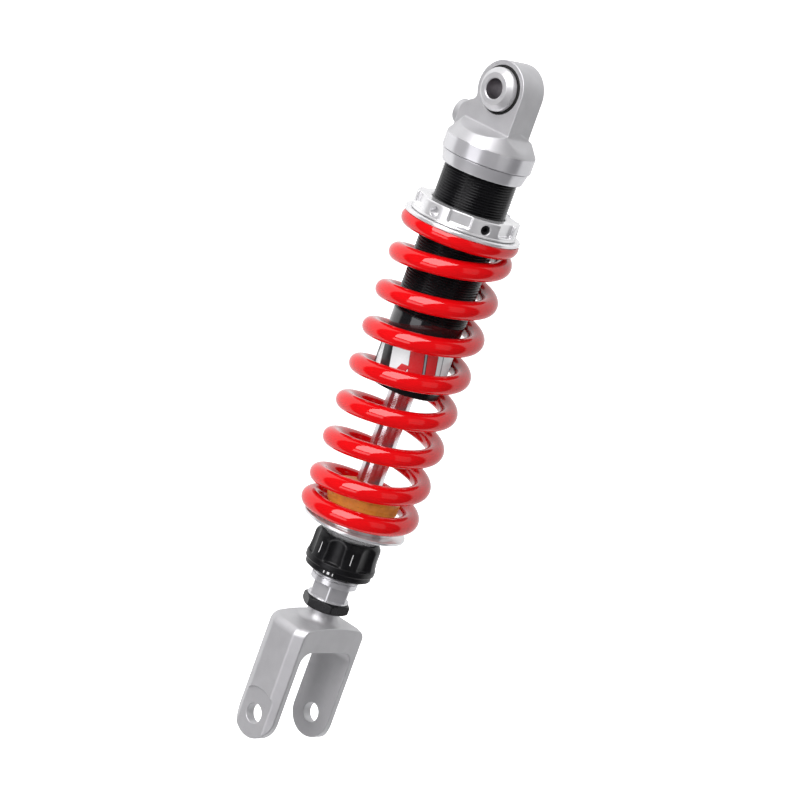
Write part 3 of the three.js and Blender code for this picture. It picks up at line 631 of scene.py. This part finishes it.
# ------------------------------------------------------------------------------------------------
# damper tube with its cut thread
# ------------------------------------------------------------------------------------------------
def tube():
    pitch, depth, top, bottom = 1.65, 0.7, -36.3, -140.7
    seg, per = 144, 8
    rows = int(round((top - bottom) / pitch * per))
    z = np.linspace(top, bottom, rows + 1)
    th = np.arange(seg) * 2 * math.pi / seg
    ph = (z[:, None] / pitch - th[None, :] / (2 * math.pi)) % 1.0
    tri = np.abs(2 * ph - 1)                      # 0 at the root, 1 at the crest
    r = 22.3 - depth * (1 - np.clip((tri - 0.08) / 0.80, 0, 1))
    fade = np.clip((z - bottom) / 1.0, 0, 1)[:, None]
    r = 21.75 + (r - 21.75) * fade
    V = [np.stack([r * np.cos(th), r * np.sin(th), np.repeat(z[:, None], seg, 1)], 2).reshape(-1, 3)]
    inner = [(18.8, -36.3), (18.0, -37.1), (18.0, -182.0), (19.3, -182.0), (19.3, -183.6), (18.0, -183.6), (18.0, -185.7), (18.4, -186.2), (20.9, -186.2), (21.25, -186.1), (21.7, -185.6), (21.8, -185.2), (21.8, -156.0), (21.62, -155.2), (21.62, -142.2), (21.75, -141.5)]
    for rr, zz in reversed(inner):
        V.append(np.stack([rr * np.cos(th), rr * np.sin(th), np.full(seg, zz)], 1))
    V = np.concatenate(V)
    n = rows + 1 + len(inner)
    i, j = np.meshgrid(np.arange(n), np.arange(seg), indexing="ij")
    i2, j2 = (i + 1) % n, (j + 1) % seg
    F = np.stack([i * seg + j, i2 * seg + j, i2 * seg + j2, i * seg + j2], 2).reshape(-1, 4)
    ob = new_object("threaded_tube", V, F, "black_anodised")
    me = ob.data
    me.materials.append(MATS["black_gloss"])
    mi = np.zeros(len(me.polygons), np.int32)
    ring = np.arange(len(F)) // seg
    zc = V[F[:, 0], 2]
    rc = hyp(V[F[:, 0], 0], V[F[:, 0], 1])
    mi[(ring >= rows) & (zc > -156.0) & (rc > 21)] = 1
    me.polygons.foreach_set("material_index", mi)
    md = ob.modifiers.new("edges", "EDGE_SPLIT")
    md.split_angle = rad(50)
    return ob


place(tube(), "damper_body", "black_anodised", "damper_tube")


def label():
    """Thin printed film round the lower, plain part of the tube."""
    a0, a1, z0, z1, R, t = 148, 300, -176.6, -157.0, 21.86, 0.08
    nu, nv = 96, 10
    V, UV = [], []
    for r in (R + t, R + 0.01):
        for i in range(nu + 1):
            for j in range(nv + 1):
                a = rad(a0 + (a1 - a0) * i / nu)
                V.append((r * math.cos(a), r * math.sin(a), z0 + (z1 - z0) * j / nv))
                UV.append((i / nu, j / nv))
    m = (nu + 1) * (nv + 1)
    k = lambda s, i, j: s * m + i * (nv + 1) + j
    F = []
    for i in range(nu):
        for j in range(nv):
            F.append([k(0, i, j), k(0, i + 1, j), k(0, i + 1, j + 1), k(0, i, j + 1)])
            F.append([k(1, i, j + 1), k(1, i + 1, j + 1), k(1, i + 1, j), k(1, i, j)])
    for i in range(nu):
        F.append([k(1, i, 0), k(1, i + 1, 0), k(0, i + 1, 0), k(0, i, 0)])
        F.append([k(0, i, nv), k(0, i + 1, nv), k(1, i + 1, nv), k(1, i, nv)])
    for j in range(nv):
        F.append([k(1, 0, j + 1), k(1, 0, j), k(0, 0, j), k(0, 0, j + 1)])
        F.append([k(0, nu, j + 1), k(0, nu, j), k(1, nu, j), k(1, nu, j + 1)])
    ob = new_object("tube_label", V, F, "label_print")
    lay = ob.data.uv_layers.new(name="label")
    vi = np.zeros(len(ob.data.loops), np.int64)
    ob.data.loops.foreach_get("vertex_index", vi)
    lay.data.foreach_set("uv", np.array(UV)[vi].astype(np.float32).ravel())
    md = ob.modifiers.new("edges", "EDGE_SPLIT")
    md.split_angle = rad(50)
    return ob


place(label(), "damper_body", "black_anodised")

place(lathe("seal_head_body", [
    (8.4, -166.0), (16.9, -166.0), (17.7, -166.8), (17.7, -171.4, 0), (16.0, -171.4, 0), (16.0, -174.2, 0), (17.7, -174.2, 0), (17.7, -181.8), (15.6, -181.8, 0.2), (15.6, -186.4, 0.3), (14.8, -187.2, 0.3),
    (12.0, -187.2, 0.2), (12.0, -183.0, 0), (8.4, -183.0, 0), (8.4, -179.0, 0), (12.0, -179.0, 0), (12.0, -173.6, 0), (8.4, -173.6, 0)], "bright_aluminium"), "damper_body", "bright_aluminium", "seal_head")
place(lathe("wiper_lip", [(8.12, -188.6, 0.15), (9.0, -189.2, 0.3), (11.0, -187.5, 0.4), (11.7, -187.1, 0.2), (11.7, -183.3, 0), (8.6, -183.3, 0), (8.6, -186.6, 0.2)], "black_rubber"), "damper_body", "black_rubber", "rod_wiper")

# ------------------------------------------------------------------------------------------------
# rod, bump stop, lower seat
# ------------------------------------------------------------------------------------------------
place(lathe("chrome_rod", [(2.6, -292.6, 0), (7.2, -292.6, 0.2), (8.0, -291.8, 0.3), (8.0, -146.4, 0.1), (7.6, -146.0, 0), (5.0, -146.0, 0), (5.0, -118.6, 0.1), (4.4, -118.0, 0), (2.6, -118.0, 0)], "hard_chrome"), "rod_group", "hard_chrome", "piston_rod")


def ribs(r, z, th):
    """Shallow mould lines and raised marks round the bump stop."""
    out = np.full(th.shape, float(r))
    if r > 20.5:
        for a in (200, 260, 320, 20, 80, 140):
            out += 0.12 * np.exp(-((np.degrees(th) - a + 180) % 360 - 180) ** 2 / 3.0)
    return out


place(lathe("bump_stop_body", [(8.5, -250.6, 0.4), (15.5, -250.6, 1.5), (19.0, -251.8, 2.0), (21.0, -253.4, 1.5), (21.8, -255.2, 1.0), (21.8, -258.2, 0), (21.6, -258.5, 0), (21.8, -258.8, 0), (21.8, -261.0, 2.0), (20.6, -264.0, 3.0), (18.7, -266.4, 0.6), (8.5, -266.4, 0.4)], "amber_polyurethane", seg=180, mod=ribs), "rod_group", "amber_polyurethane", "bump_stop")
place(lathe("lower_seat_body", [
    (8.5, -285.8, 0.2), (16.2, -285.8, 0.3), (16.2, -282.0, 0.3), (17.6, -281.6, 0.2), (18.6, -280.9, 0.5), (21.6, -279.0, 0.5), (25.0, -277.2, 1.5), (28.4, -276.0, 1.5), (31.0, -275.4, 0.4), (31.4, -275.0, 0.4), (31.4, -273.5, 0.3),
    (23.9, -273.5, 0.3), (23.9, -270.8, 0.6), (23.0, -269.8, 0.6), (19.4, -266.8, 0.4), (8.5, -266.8, 0.2)], "bright_aluminium", seg=160), "rod_group", "bright_aluminium", "lower_spring_seat")


# ------------------------------------------------------------------------------------------------
# preload ring and thrust washer
# ------------------------------------------------------------------------------------------------
g_ring = poly_table([(22.6, -81.5), (32.3, -81.5), (32.3, -80.6, 0.3), (31.8, -80.2, 0.2), (31.8, -72.1, 0.3), (31.2, -71.5, 0.3), (23.3, -71.5, 0.2), (22.6, -72.2, 0.2)], radius=0.25)


def f_ring(X, Y, Z):
    R, A = hyp(X, Y), np.arctan2(Y, X)
    d = g_ring(R, Z)
    step = math.pi / 3
    a = (A - rad(35) + step / 2) % step - step / 2
    u, v = R * np.cos(a), R * np.sin(a)
    pocket = r_int(1.8, np.abs(v) - 7.0, -79.0 - Z)
    pocket = r_int(1.0, pocket, 28.7 - u)
    d = r_cut(0.5, d, pocket)
    b = (A - rad(65) + step / 2) % step - step / 2
    u, v = R * np.cos(b), R * np.sin(b)
    hole = np.maximum(hyp(v, Z + 76.6) - 2.9, 26.8 - u)
    d = r_cut(0.3, d, hole)
    c = (A - rad(245) + math.pi) % (2 * math.pi) - math.pi
    u, v = R * np.cos(c), R * np.sin(c)
    return np.maximum(d, -np.maximum(hyp(v, Z + 76.6) - 2.9, 20.0 - u))


place(nets("preload_ring_body", f_ring, (-33, -33, -82.1), (33, 33, -70.9), 0.36, "bright_aluminium"), "preload_nut", "bright_aluminium", "preload_ring")


def f_grub(X, Y, Z):
    ux, uy = math.cos(rad(245)), math.sin(rad(245))
    u, v, w = X * ux + Y * uy, -X * uy + Y * ux, Z + 76.6
    R = hyp(v, w)
    d = r_int(0.3, R - 2.6, u - 30.8, 22.7 - u)
    hexagon = np.maximum(np.abs(v) - 1.5, 0.5 * np.abs(v) + 0.866 * np.abs(w) - 1.5)
    return r_cut(0.1, d, np.maximum(hexagon, 28.0 - u))


place(nets("lock_grub", f_grub, (-16, -31, -79.6), (-6, -17, -73.6), 0.18, "black_steel"), "preload_grub", "black_steel", "preload_lock_screw")
place(lathe("thrust_washer_body", [(22.9, -84.1, 0.2), (35.1, -84.1, 0.3), (35.5, -83.6, 0.4), (35.5, -82.4, 0.4), (34.9, -81.8, 0.3), (22.9, -81.8, 0.2)], "bright_aluminium", seg=180), "spring_perch", "bright_aluminium", "spring_thrust_washer")

# ------------------------------------------------------------------------------------------------
# coil spring
# ------------------------------------------------------------------------------------------------
HELIX = [(-0.5, -86.4), (0, -88.4), (0.5, -98.3), (1, -110.5), (2, -134.1), (3, -157.7), (4, -181.3), (5, -204.9), (6, -228.5), (7, -252.1), (7.5, -261.5), (8, -267.2), (8.2, -268.4)]


def spring():
    ts, zs = np.array([p[0] for p in HELIX]), np.array([p[1] for p in HELIX])
    sl = np.zeros(len(ts))
    d = np.diff(zs) / np.diff(ts)
    sl[0], sl[-1], sl[1:-1] = d[0], d[-1], 0.5 * (d[1:] + d[:-1])

    def height(t):
        i = np.clip(np.searchsorted(ts, t, side="right") - 1, 0, len(ts) - 2)
        h = ts[i + 1] - ts[i]
        s = (t - ts[i]) / h
        return (2 * s ** 3 - 3 * s ** 2 + 1) * zs[i] + (s ** 3 - 2 * s ** 2 + s) * h * sl[i] + (-2 * s ** 3 + 3 * s ** 2) * zs[i + 1] + (s ** 3 - s ** 2) * h * sl[i + 1]

    M, wire, per, side = 30.25, 5.6, 96, 36
    n = int((ts[-1] - ts[0]) * per) + 1
    t = np.linspace(ts[0], ts[-1], n)
    a = np.radians(129.3 - 360 * t)
    C = np.stack([M * np.cos(a), M * np.sin(a), height(t)], 1)
    T = np.gradient(C, axis=0)
    T /= np.linalg.norm(T, axis=1)[:, None]
    O = np.stack([np.cos(a), np.sin(a), np.zeros(n)], 1)
    B = np.cross(T, O)
    B /= np.linalg.norm(B, axis=1)[:, None]
    ph = np.arange(side) * 2 * math.pi / side
    V, W = [], []
    top, bottom = -84.4, -273.2
    w = np.clip((t - 0.35) / (7.75 - 0.35), 0, 1)
    for i in range(n):
        ring = C[i] + wire * (np.cos(ph)[:, None] * O[i] + np.sin(ph)[:, None] * B[i])
        V.append(ring)
        W.append(np.full(side, w[i]))
    # closing rings that round off the cut ends
    def cap(i, sgn):
        rings = []
        for k, (s, o) in enumerate(((0.94, 0.22), (0.86, 0.30), (0.5, 0.30))):
            rings.append(C[i] + sgn * o * T[i] + wire * s * (np.cos(ph)[:, None] * O[i] + np.sin(ph)[:, None] * B[i]))
        return rings
    head, tail = cap(0, -1)[::-1], cap(n - 1, 1)
    allr = head + V + tail
    wr = [np.zeros(side)] * 3 + W + [np.ones(side)] * 3
    V, W = np.concatenate(allr), np.concatenate(wr)
    m = len(allr)
    tip0, tip1 = C[0] - 0.30 * T[0], C[-1] + 0.30 * T[-1]
    V = np.concatenate([V, [tip0, tip1]])
    W = np.concatenate([W, [0, 1]])
    # ground flats: the wire is clipped flat at the top and bottom
    def soft_top(z):
        return np.minimum(z, top)
    V[:, 2] = np.clip(V[:, 2], bottom, top)
    i, j = np.meshgrid(np.arange(m - 1), np.arange(side), indexing="ij")
    j2 = (j + 1) % side
    F = np.stack([i * side + j, i * side + j2, (i + 1) * side + j2, (i + 1) * side + j], 2).reshape(-1, 4).tolist()
    a0, a1 = m * side, m * side + 1
    for j in range(side):
        k = (j + 1) % side
        F.append([a0, k, j])
        F.append([a1, (m - 1) * side + j, (m - 1) * side + k])
    ob = new_object("red_coil_spring", V, F, "red_powder_coat")
    # outward faces
    v0, f0 = V, F[0]
    c = (V[F[len(F) // 2]]).mean(0)
    p = V[F[len(F) // 2]]
    nn = np.cross(p[1] - p[0], p[2] - p[1])
    ci = np.argmin(np.linalg.norm(C - c, axis=1))
    if nn @ (c - C[ci]) < 0:
        ob.data.flip_normals()
    md = ob.modifiers.new("edges", "EDGE_SPLIT")
    md.split_angle = rad(38)
    return ob, W


coil, weight = spring()
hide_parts("coil_spring")
coil.visible_diffuse = False
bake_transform(coil)


# ------------------------------------------------------------------------------------------------
# rebound knob
# ------------------------------------------------------------------------------------------------
g_knob = poly_table([
    (13.3, -288.2, 0), (16.8, -288.2, 0), (16.8, -282.3, 0.25), (18.2, -282.3, 0.5), (20.0, -284.4, 0.8), (20.5, -286.0, 0.8), (20.5, -292.0, 0), (21.0, -297.6, 0.3), (21.5, -298.4, 0.3), (21.5, -301.2, 0.3), (20.4, -302.2, 0.3), (20.4, -305.0, 0.5), (17.2, -306.8, 0.4),
    (13.3, -306.8, 0), (13.3, -303.4, 0), (15.2, -303.4, 0), (15.2, -294.6, 0), (13.3, -294.6, 0), (13.3, -292.6, 0), (14.4, -291.6, 0), (14.4, -290.0, 0), (13.3, -289.0, 0)], radius=0.2)


def f_knob(X, Y, Z):
    R, A = hyp(X, Y), np.arctan2(Y, X)
    d = g_knob(R, Z)
    step = math.pi / 3
    a = (A - rad(25.9) + step / 2) % step - step / 2
    u, v = R * np.cos(a), R * np.sin(a)
    # a finger scallop between each pair of ribs, run out above the skirt
    scallop = r_int(1.2, hyp(u - 30.6, v) - 12.0, -297.8 - Z)
    d = r_cut(0.6, d, scallop)
    # click notches low on the skirt
    step = math.pi / 9
    c = (A + step / 2) % step - step / 2
    notch = np.maximum(hyp(R * np.sin(c), Z + 305.2) - 0.9, 19.2 - R)
    return r_cut(0.2, d, notch)


place(nets("rebound_knob_body", f_knob, (-22.3, -22.3, -307.6), (22.3, 22.3, -281.5), 0.34, "black_plastic"), "knob", "black_plastic", "rebound_knob")


def curved_patch(name, profile, a_mid, half_w, material, t=0.05, n=4):
    """A thin printed mark lying on a turned surface whose outline is profile, (z, r) pairs."""
    V, m = [], len(profile)
    for off in (t, -0.15):
        for i in range(n + 1):
            a = rad(a_mid) + (2 * i / n - 1) * half_w / profile[0][1]
            for z, r in profile:
                V.append(((r + off) * math.cos(a), (r + off) * math.sin(a), z))
    k = lambda s, i, j: s * (n + 1) * m + i * m + j
    F = []
    for i in range(n):
        for j in range(m - 1):
            F.append([k(0, i, j), k(0, i + 1, j), k(0, i + 1, j + 1), k(0, i, j + 1)])
            F.append([k(1, i, j + 1), k(1, i + 1, j + 1), k(1, i + 1, j), k(1, i, j)])
        F.append([k(1, i, 0), k(1, i + 1, 0), k(0, i + 1, 0), k(0, i, 0)])
        F.append([k(0, i, m - 1), k(0, i + 1, m - 1), k(1, i + 1, m - 1), k(1, i, m - 1)])
    for j in range(m - 1):
        F.append([k(0, 0, j), k(0, 0, j + 1), k(1, 0, j + 1), k(1, 0, j)])
        F.append([k(0, n, j + 1), k(0, n, j), k(1, n, j), k(1, n, j + 1)])
    return new_object(name, V, F, material, smooth=False)


for i in range(6):
    place(curved_patch(f"knob_line_{i + 1}", [(-294.6, 20.72), (-292.0, 20.5), (-287.8, 20.5)], 55.9 + 60 * i, 0.26, "white_print"), "knob", "black_plastic")
for i, (a, w) in enumerate(((198, 0.3), (206, 0.75), (214, 0.3))):
    place(curved_patch(f"dial_mark_{i + 1}", [(-304.3, 20.4), (-302.7, 20.4)], a, w, "white_print"), "knob", "black_plastic")

# ------------------------------------------------------------------------------------------------
# rod end, lock nut, stud
# ------------------------------------------------------------------------------------------------
g_end = poly_table([
    (16.0, -323.2, 0), (16.0, -312.9, 0), (14.4, -312.9, 0.25), (14.4, -309.4, 0.15), (13.75, -309.2, 0.1), (13.75, -308.8, 0.1), (14.2, -308.6, 0.15), (14.2, -307.5, 0.3), (13.8, -307.1, 0.2),
    (12.9, -307.1, 0), (12.9, -286.9, 0.3), (12.3, -286.3, 0.2), (-1.0, -286.3, 0), (-1.0, -323.2, 0)], radius=0.2)


def hexagon(X, Y, af, phase):
    """Distance to a hexagonal prism with a corner at the given polar angle."""
    A = np.arctan2(Y, X) - rad(phase) - math.pi / 6
    step = math.pi / 3
    a = (A + step / 2) % step - step / 2
    return hyp(X, Y) * np.cos(a) - af / 2


def hex_round(X, Y, af, phase, r):
    ds = []
    for k in range(3):
        t = rad(phase + 30 + 60 * k)
        ds.append(np.abs(X * math.cos(t) + Y * math.sin(t)) - af / 2)
    return r_int(r, *ds)


def f_end(X, Y, Z):
    R = hyp(X, Y)
    d = g_end(R, Z)
    h = r_int(0.2, hex_round(X, Y, 22.0, 39.3, 0.3), R - 12.45, -323.0 - Z)
    disc = np.maximum(R - 14.4, -312.9 - Z)
    flange = r_int(0.25, R - 12.8, -323.2 - Z, Z + 322.2)
    d = np.where(Z < -311.0, np.minimum(np.minimum(np.maximum(h, Z + 308.0), flange), r_int(0.25, R - 14.4, -312.9 - Z)), d)
    d = r_cut(0.3, d, np.maximum(R - 8.2, Z + 305.5))
    d = np.maximum(d, -np.maximum(R - 8.3, -293.0 - Z))
    d = np.maximum(d, -np.maximum(R - 2.9, -302.6 - Z))
    d = np.maximum(d, -np.maximum(np.abs(Y) - 1.9, np.maximum(-302.6 - Z, Z + 295.4)))
    d = np.maximum(d, -np.maximum(hyp(X, Z + 290.8) - 1.7, 9.4 - Y))
    return d


place(nets("rod_end_body", f_end, (-15.2, -15.2, -324), (15.2, 15.2, -285.6), 0.3, "turned_cap"), "rod_group", "bright_aluminium", "rod_end")


def f_nut(X, Y, Z):
    R = hyp(X, Y)
    h = hex_round(X, Y, 26.0, 57.0, 0.4)
    az = np.abs(Z + 326.6)
    d = r_int(0.35, h, 0.5 * R + 0.866 * az - (0.5 * 13.1 + 0.866 * 3.1))
    d = r_int(0.2, d, az - 3.1)
    d = r_cut(0.25, d, R - 8.2)
    return r_cut(0.15, d, 0.707 * (R - 9.1 + 3.1 - az))


place(nets("lock_nut_body", f_nut, (-15.8, -15.8, -330.3), (15.8, 15.8, -322.9), 0.28, "black_steel"), "jam_nut", "black_steel", "lock_nut")


def stud():
    pitch, top, bottom, seg = 1.5, -311.4, -349.1, 96
    rows = int((top - bottom) / pitch * 8)
    z = np.linspace(top, bottom, rows + 1)
    th = np.arange(seg) * 2 * math.pi / seg
    ph = (z[:, None] / pitch - th[None, :] / (2 * math.pi)) % 1.0
    tri = np.abs(2 * ph - 1)
    r = 7.9 - 0.6 * (1 - np.clip((tri - 0.06) / 0.82, 0, 1))
    rings = [np.stack([r[i] * np.cos(th), r[i] * np.sin(th), np.full(seg, z[i])], 1) for i in range(rows + 1)]
    ring = lambda rr, zz: np.stack([rr * np.cos(th), rr * np.sin(th), np.full(seg, zz)], 1)
    rings = [ring(5.0, -310.5), ring(6.8, -310.55), ring(7.1, -310.8)] + rings + [ring(7.1, -349.7), ring(6.8, -349.95), ring(5.0, -350.0)]
    V = np.concatenate(rings + [np.array([[0, 0, -310.5], [0, 0, -350.0]])])
    m = len(rings)
    F = []
    for i in range(m - 1):
        for j in range(seg):
            k = (j + 1) % seg
            F.append([i * seg + j, (i + 1) * seg + j, (i + 1) * seg + k, i * seg + k])
    for j in range(seg):
        k = (j + 1) % seg
        F.append([m * seg, j, k])
        F.append([m * seg + 1, (m - 1) * seg + k, (m - 1) * seg + j])
    return new_object("threaded_stud", V, F, "zinc_steel")


place(stud(), "length_adjuster", "zinc_steel", "clevis_stud")


# ------------------------------------------------------------------------------------------------
# clevis
# ------------------------------------------------------------------------------------------------
def f_clevis(X, Y, Z):
    ax, ay, R = np.abs(X), np.abs(Y), hyp(X, Y)
    H = hyp(Y, Z + 400.0)
    crown = (Z + 336.9 + ax * ax / 270.0) / np.sqrt(1 + (ax / 135.0) ** 2)
    end = hyp(Y, np.minimum(Z + 400.0, 0)) - 15.3
    side = r_int(0.5, ax - 29.7, 0.853 * ax + 0.523 * ay - 30.095)
    d = r_int(0.5, r_int(4.6, side, crown), end)
    gap = r_int(7.5, ax - 21.7, Z + 353.1)
    d = r_cut(0.6, d, gap)
    boss = r_int(0.3, R - 9.35, Z + 330.2, -345.0 - Z)
    d = r_uni(5.2, d, boss)
    d = r_cut(0.35, d, np.maximum(R - 8.2, -350.3 - Z))
    d = r_cut(0.35, d, np.maximum(H - 16.2, 28.5 - ax))
    d = r_cut(0.45, d, H - 6.1)
    return d


place(nets("clevis_body", f_clevis, (-30.6, -16.1, -416.2), (30.6, 16.1, -329.4), 0.44, "satin_aluminium"), "fork", "satin_aluminium", "clevis")


# ------------------------------------------------------------------------------------------------
# stage, light, camera
# ------------------------------------------------------------------------------------------------
def stage():
    me = bpy.data.meshes.new("floor")
    s, z = 14.0, -0.72
    me.from_pydata([(-s, -s, z), (s, -s, z), (s, s, z), (-s, s, z)], [], [(0, 1, 2, 3)])
    ob = bpy.data.objects.new("floor", me)
    SCENE.collection.objects.link(ob)
    mat = bpy.data.materials.new("pale_floor")
    mat.use_nodes = True
    t = mat.node_tree
    b = t.nodes["Principled BSDF"]
    b.inputs["Base Color"].default_value = (0.80, 0.80, 0.80, 1)
    b.inputs["Roughness"].default_value = 0.9
    b.inputs["Emission Color"].default_value = (1, 1, 1, 1)
    lp = t.nodes.new("ShaderNodeLightPath")
    t.links.new(lp.outputs["Is Camera Ray"], b.inputs["Emission Strength"])
    me.materials.append(mat)
    ob.visible_glossy = False


stage()

AZ, EL, DIST, ROLL = 0.88204340, 0.22613079, 2.089968, 0.34700563
AIM = Vector((0, 0, -0.194258))
back = Vector((-math.sin(AZ) * math.cos(EL), -math.cos(AZ) * math.cos(EL), math.sin(EL)))
fwd = -back
right0 = Vector((math.cos(AZ), -math.sin(AZ), 0))
up0 = right0.cross(fwd)
right = right0 * math.cos(ROLL) + up0 * math.sin(ROLL)
up = -right0 * math.sin(ROLL) + up0 * math.cos(ROLL)
cam = bpy.data.cameras.new("camera")
cam.sensor_width = 36.0
cam.lens = 3541.743 / 800 * 36.0
cam.shift_x = (400 - 399.285) / 800
cam.shift_y = (399.745 - 400) / 800
cam.clip_start, cam.clip_end = 0.05, 60
camera = bpy.data.objects.new("camera", cam)
SCENE.collection.objects.link(camera)
rot = Matrix((right, up, back)).transposed()
camera.matrix_world = Matrix.Translation(AIM + back * DIST) @ rot.to_4x4()
SCENE.camera = camera
VIEW_POLAR = 219.3


def softbox(name, side, elev, dist, w, h, radiance, colour=(1, 1, 1)):
    """Rectangular light facing the shock, at an angle left (-) or right (+) of the camera."""
    d = bpy.data.lights.new(name, "AREA")
    d.shape = "RECTANGLE"
    d.size, d.size_y = w, h
    d.energy = radiance * math.pi * w * h
    d.color = colour
    ob = bpy.data.objects.new(name, d)
    polar = VIEW_POLAR + side
    p = Vector((math.cos(rad(polar)) * math.cos(rad(elev)), math.sin(rad(polar)) * math.cos(rad(elev)), math.sin(rad(elev)))) * dist + Vector((0, 0, -0.2))
    ob.location = p
    ob.rotation_euler = (Vector((0, 0, -0.2)) - p).to_track_quat("-Z", "Y").to_euler()
    SCENE.collection.objects.link(ob)
    return ob


softbox("key", -33, 42, 2.2, 1.60, 3.0, 4.6, (1.0, 0.985, 1.0))
softbox("low", -34, -14, 2.2, 1.30, 0.85, 1.9, (0.97, 0.96, 1.0))
softbox("fill", 44, 20, 2.4, 1.3, 2.6, 0.30)

world = bpy.data.worlds.new("studio")
SCENE.world = world
world.use_nodes = True
wt = world.node_tree
wt.nodes.clear()
wo = wt.nodes.new("ShaderNodeOutputWorld")
bg = wt.nodes.new("ShaderNodeBackground")
wt.links.new(bg.outputs[0], wo.inputs[0])
tc = wt.nodes.new("ShaderNodeTexCoord")
dot = wt.nodes.new("ShaderNodeVectorMath")
dot.operation = "DOT_PRODUCT"
dot.inputs[1].default_value = Vector((back.x, back.y, 0)).normalized()
wt.links.new(tc.outputs["Generated"], dot.inputs[0])
mr = wt.nodes.new("ShaderNodeMapRange")
mr.inputs["From Min"].default_value = -1
mr.inputs["From Max"].default_value = 1
wt.links.new(dot.outputs["Value"], mr.inputs["Value"])
rm = wt.nodes.new("ShaderNodeValToRGB")
e = rm.color_ramp.elements
e[0].position, e[0].color = 0.44, (0.95, 0.95, 0.96, 1)
e[1].position, e[1].color = 0.50, (0.075, 0.072, 0.08, 1)
wt.links.new(mr.outputs[0], rm.inputs[0])
lp = wt.nodes.new("ShaderNodeLightPath")
mx = wt.nodes.new("ShaderNodeMix")
mx.data_type = "RGBA"
wt.links.new(lp.outputs["Is Camera Ray"], mx.inputs[0])
wt.links.new(rm.outputs[0], mx.inputs[6])
mx.inputs[7].default_value = (1, 1, 1, 1)
wt.links.new(mx.outputs[2], bg.inputs["Color"])
bg.inputs["Strength"].default_value = 1.0

SCENE.view_settings.view_transform = "Standard"
SCENE.view_settings.look = "None"
SCENE.view_settings.exposure = 0.0
